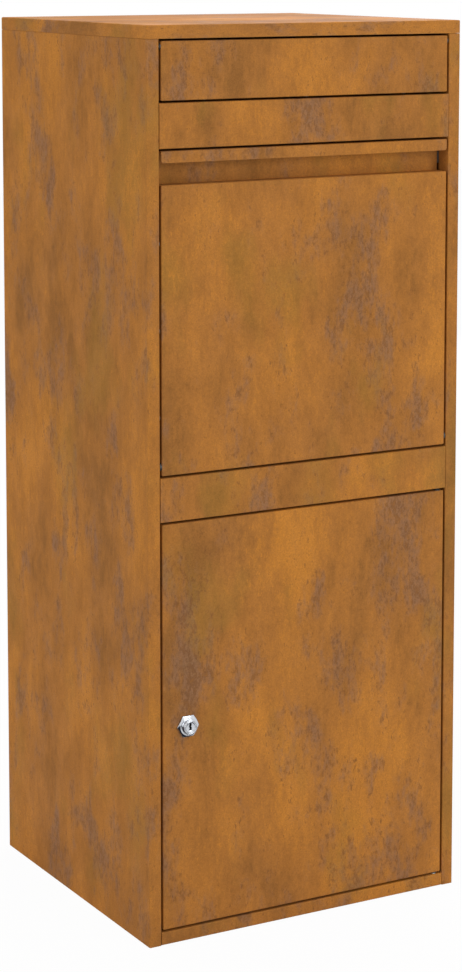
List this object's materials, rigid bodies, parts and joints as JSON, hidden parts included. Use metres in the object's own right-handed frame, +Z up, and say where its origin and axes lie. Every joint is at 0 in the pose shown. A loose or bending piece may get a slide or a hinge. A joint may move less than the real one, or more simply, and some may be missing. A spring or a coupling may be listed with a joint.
{
  "type": "parcel drop box",
  "caption": "Free-standing steel box with a tipping parcel hopper, a letter flap above it and a locking retrieval door below.",
  "frame": {"origin": "on the floor at the middle of the cabinet's base, which is the centre of its floor anchor holes", "axes": "+Z up, -Y out of the front face, +X to the right as seen from the front"},
  "size_m": [0.41, 0.3875, 1.035],
  "materials": {
    "weathered_steel": "matte",
    "zinc_coated_sheet": "satin",
    "plated_steel": "satin",
    "lock_chrome": "polished",
    "black_rubber": "matte",
    "bush_plastic": "matte"
  },
  "bodies": {
    "cabinet": {"side_panel_left": "weathered_steel", "side_panel_right": "weathered_steel", "back_panel": "weathered_steel", "base_pan": "weathered_steel", "roof_cap": "weathered_steel", "upper_front_rail": "weathered_steel", "middle_front_rail": "weathered_steel", "letter_chute": "zinc_coated_sheet", "anti_theft_baffle": "zinc_coated_sheet", "hopper_stop_left": "zinc_coated_sheet", "hopper_stop_right": "zinc_coated_sheet", "hopper_stop_buffers": "black_rubber", "drop_door_rests": "zinc_coated_sheet", "drop_door_bumpers": "black_rubber", "door_stop_strip": "zinc_coated_sheet", "door_bumpers": "black_rubber", "lock_strike": "zinc_coated_sheet", "drop_hinge_plate_left": "plated_steel", "drop_hinge_plate_right": "plated_steel", "drop_hinge_pin_left": "plated_steel", "drop_hinge_pin_right": "plated_steel", "drop_hinge_nuts": "plated_steel", "door_hinge_pin_top": "plated_steel", "door_hinge_pin_bottom": "plated_steel", "door_washer": "plated_steel", "flap_rod": "plated_steel", "flap_rod_clips": "plated_steel", "rail_rivets": "plated_steel", "chute_rivets": "plated_steel", "back_panel_screws": "plated_steel", "roof_screws": "plated_steel"},
    "drop_door": {"drop_door_skin": "weathered_steel", "drop_door_liner": "zinc_coated_sheet", "hopper_tray": "zinc_coated_sheet", "hopper_cheek_left": "zinc_coated_sheet", "hopper_cheek_right": "zinc_coated_sheet", "drop_hinge_bush_left": "bush_plastic", "drop_hinge_bush_right": "bush_plastic", "cheek_rivets": "plated_steel", "tray_rivets": "plated_steel"},
    "letter_flap": {"letter_flap_skin": "weathered_steel", "flap_stop_bar": "zinc_coated_sheet", "flap_bush_left": "bush_plastic", "flap_bush_right": "bush_plastic", "flap_rivets": "plated_steel"},
    "retrieval_door": {"retrieval_door_skin": "weathered_steel", "retrieval_door_liner": "zinc_coated_sheet", "door_stiffener_left": "zinc_coated_sheet", "door_stiffener_right": "zinc_coated_sheet", "liner_rivets": "plated_steel", "door_bush_top": "bush_plastic", "door_bush_bottom": "bush_plastic", "lock_body": "lock_chrome", "lock_nut": "plated_steel"},
    "lock_plug_and_cam": {"lock_plug": "lock_chrome", "lock_cam": "plated_steel", "cam_screw": "plated_steel"}
  },
  "joints": [
    {"name": "drop_door_tip", "type": "hinge", "parent": "cabinet", "child": "drop_door", "pos_m": [0, -0.1847, 0.5475], "axis": [1, 0, 0], "range_deg": [0, 55]},
    {"name": "letter_flap_swing", "type": "hinge", "parent": "cabinet", "child": "letter_flap", "pos_m": [0, -0.1855, 1.0115], "axis": [1, 0, 0], "range_deg": [0, 70]},
    {"name": "retrieval_door_swing", "type": "hinge", "parent": "cabinet", "child": "retrieval_door", "pos_m": [0.1805, -0.185, 0.25], "axis": [0, 0, 1], "range_deg": [0, 110]},
    {"name": "lock_turn", "type": "hinge", "parent": "retrieval_door", "child": "lock_plug_and_cam", "pos_m": [-0.1565, -0.19, 0.25], "axis": [0, 1, 0], "range_deg": [0, 90]}
  ]
}
